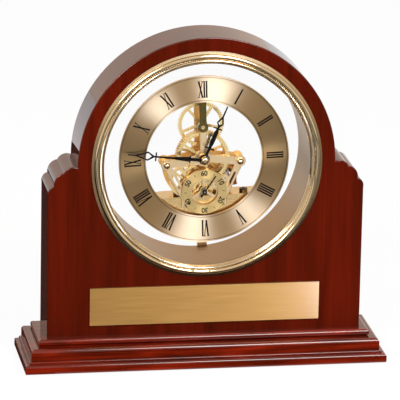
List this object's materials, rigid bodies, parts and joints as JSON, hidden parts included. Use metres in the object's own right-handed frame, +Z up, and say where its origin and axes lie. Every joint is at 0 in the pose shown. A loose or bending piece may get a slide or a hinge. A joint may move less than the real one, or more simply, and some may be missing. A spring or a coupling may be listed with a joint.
{
  "type": "tambour mantel clock",
  "caption": "Tambour mantel clock: arched lacquered wood case with stepped shoulders on a moulded base, a glazed gold drum, an open roman dial ring and a see-through geared movement.",
  "frame": {"origin": "middle of the base's footprint, on the surface the clock stands on", "axes": "+Z up, +X to the viewer's right, the dial faces -Y"},
  "size_m": [0.24, 0.0618, 0.2206],
  "materials": {
    "case_lacquer": "deep red piano lacquer over veneer",
    "base_lacquer": "red gloss lacquer, moulded edges",
    "felt": "black felt",
    "tape": "foam tape",
    "plate_brass": "brushed brass, bare",
    "polished_gold": "polished gold plate",
    "tube_satin": "satin gold anodised",
    "dial_brass": "circular brushed gold",
    "frame_brass": "satin gold plate",
    "wheel_brass": "bright gold plate",
    "arbor_steel": "turned steel",
    "screw_steel": "bronzed steel",
    "hand_black": "black paint",
    "lens_glass": "clear flat glass",
    "clear_acrylic": "clear acrylic",
    "gasket_rubber": "black rubber",
    "box_gold": "gold plated plastic",
    "cell_wrap": "plain wrapped cell",
    "board_green": "circuit laminate",
    "crystal_can": "plated can",
    "coil_copper": "enamelled copper winding"
  },
  "bodies": {
    "frame": {"case_body": "case_lacquer", "base_top_tier": "base_lacquer", "base_middle_tier": "base_lacquer", "base_bottom_tier": "base_lacquer", "felt_sheet": "felt", "plate_tape": "tape", "engraving_plate": "plate_brass", "bezel": "polished_gold", "pillar_nuts": "polished_gold", "pillars": "polished_gold", "housing_tube": "tube_satin", "rear_ring": "tube_satin", "chapter_ring": "dial_brass", "sub_dial": "dial_brass", "ring_bridge": "frame_brass", "ring_posts": "frame_brass", "front_plate": "frame_brass", "rear_plate": "frame_brass", "top_post": "frame_brass", "sub_dial_posts": "frame_brass", "stator_posts": "frame_brass", "stator": "arbor_steel", "shelf_bolts": "screw_steel", "box_screws": "screw_steel", "ring_screws": "screw_steel", "carrier_screws": "screw_steel", "rear_ring_screws": "screw_steel", "base_screws": "screw_steel", "contact_positive": "screw_steel", "contact_negative": "screw_steel", "retaining_tab": "screw_steel", "front_lens": "lens_glass", "carrier_disc": "clear_acrylic", "lens_gasket": "gasket_rubber", "battery_box": "box_gold", "battery_cell": "cell_wrap", "circuit_board": "board_green", "quartz_crystal": "crystal_can", "motor_coil": "coil_copper"},
    "minute_group": {"centre_arbor": "arbor_steel", "cannon_pinion": "wheel_brass", "minute_hand": "hand_black", "hand_nut": "polished_gold", "setting_knob": "wheel_brass"},
    "minute_work": {"minute_wheel": "wheel_brass", "minute_pinion": "arbor_steel"},
    "hour_group": {"hour_wheel": "wheel_brass", "hour_hand": "hand_black"},
    "seconds_group": {"seconds_pinion": "arbor_steel", "seconds_wheel": "wheel_brass", "seconds_hand": "hand_black"},
    "third_group": {"third_wheel": "wheel_brass", "third_pinion": "arbor_steel"},
    "centre_group": {"centre_wheel": "wheel_brass"},
    "intermediate_group": {"intermediate_wheel": "wheel_brass", "intermediate_pinion": "arbor_steel"},
    "rotor_group": {"rotor_magnet": "arbor_steel", "rotor_pinion": "arbor_steel"},
    "door": {"battery_door": "box_gold"}
  },
  "joints": [
    {"name": "minute_turn", "type": "hinge", "parent": "frame", "child": "minute_group", "pos_m": [0, -0.01465, 0.1356], "axis": [0, 1, 0], "continuous": true},
    {"name": "minute_work_turn", "type": "hinge", "parent": "frame", "child": "minute_work", "pos_m": [-0.00073, -0.01465, 0.15659], "axis": [0, 1, 0], "continuous": true},
    {"name": "hour_turn", "type": "hinge", "parent": "frame", "child": "hour_group", "pos_m": [0, -0.01465, 0.1356], "axis": [0, 1, 0], "continuous": true},
    {"name": "seconds_turn", "type": "hinge", "parent": "frame", "child": "seconds_group", "pos_m": [0.00078, -0.01465, 0.11321], "axis": [0, 1, 0], "continuous": true},
    {"name": "third_turn", "type": "hinge", "parent": "frame", "child": "third_group", "pos_m": [-0.01038, -0.01465, 0.11968], "axis": [0, 1, 0], "continuous": true},
    {"name": "centre_turn", "type": "hinge", "parent": "frame", "child": "centre_group", "pos_m": [0, -0.01465, 0.1356], "axis": [0, 1, 0], "continuous": true},
    {"name": "intermediate_turn", "type": "hinge", "parent": "frame", "child": "intermediate_group", "pos_m": [0.00827, -0.01465, 0.11703], "axis": [0, 1, 0], "continuous": true},
    {"name": "rotor_turn", "type": "hinge", "parent": "frame", "child": "rotor_group", "pos_m": [0.01453, -0.01465, 0.12175], "axis": [0, 1, 0], "continuous": true},
    {"name": "door_pull", "type": "slide", "parent": "frame", "child": "door", "axis": [0, 1, 0], "range_m": [0, 0.025]}
  ],
  "couplings": [
    {"joint": "minute_work_turn", "follows": "minute_turn", "ratio": -0.4},
    {"joint": "hour_turn", "follows": "minute_turn", "ratio": 0.083333},
    {"joint": "third_turn", "follows": "seconds_turn", "ratio": -0.13333},
    {"joint": "centre_turn", "follows": "seconds_turn", "ratio": 0.016667},
    {"joint": "intermediate_turn", "follows": "seconds_turn", "ratio": -5},
    {"joint": "rotor_turn", "follows": "seconds_turn", "ratio": 30}
  ]
}
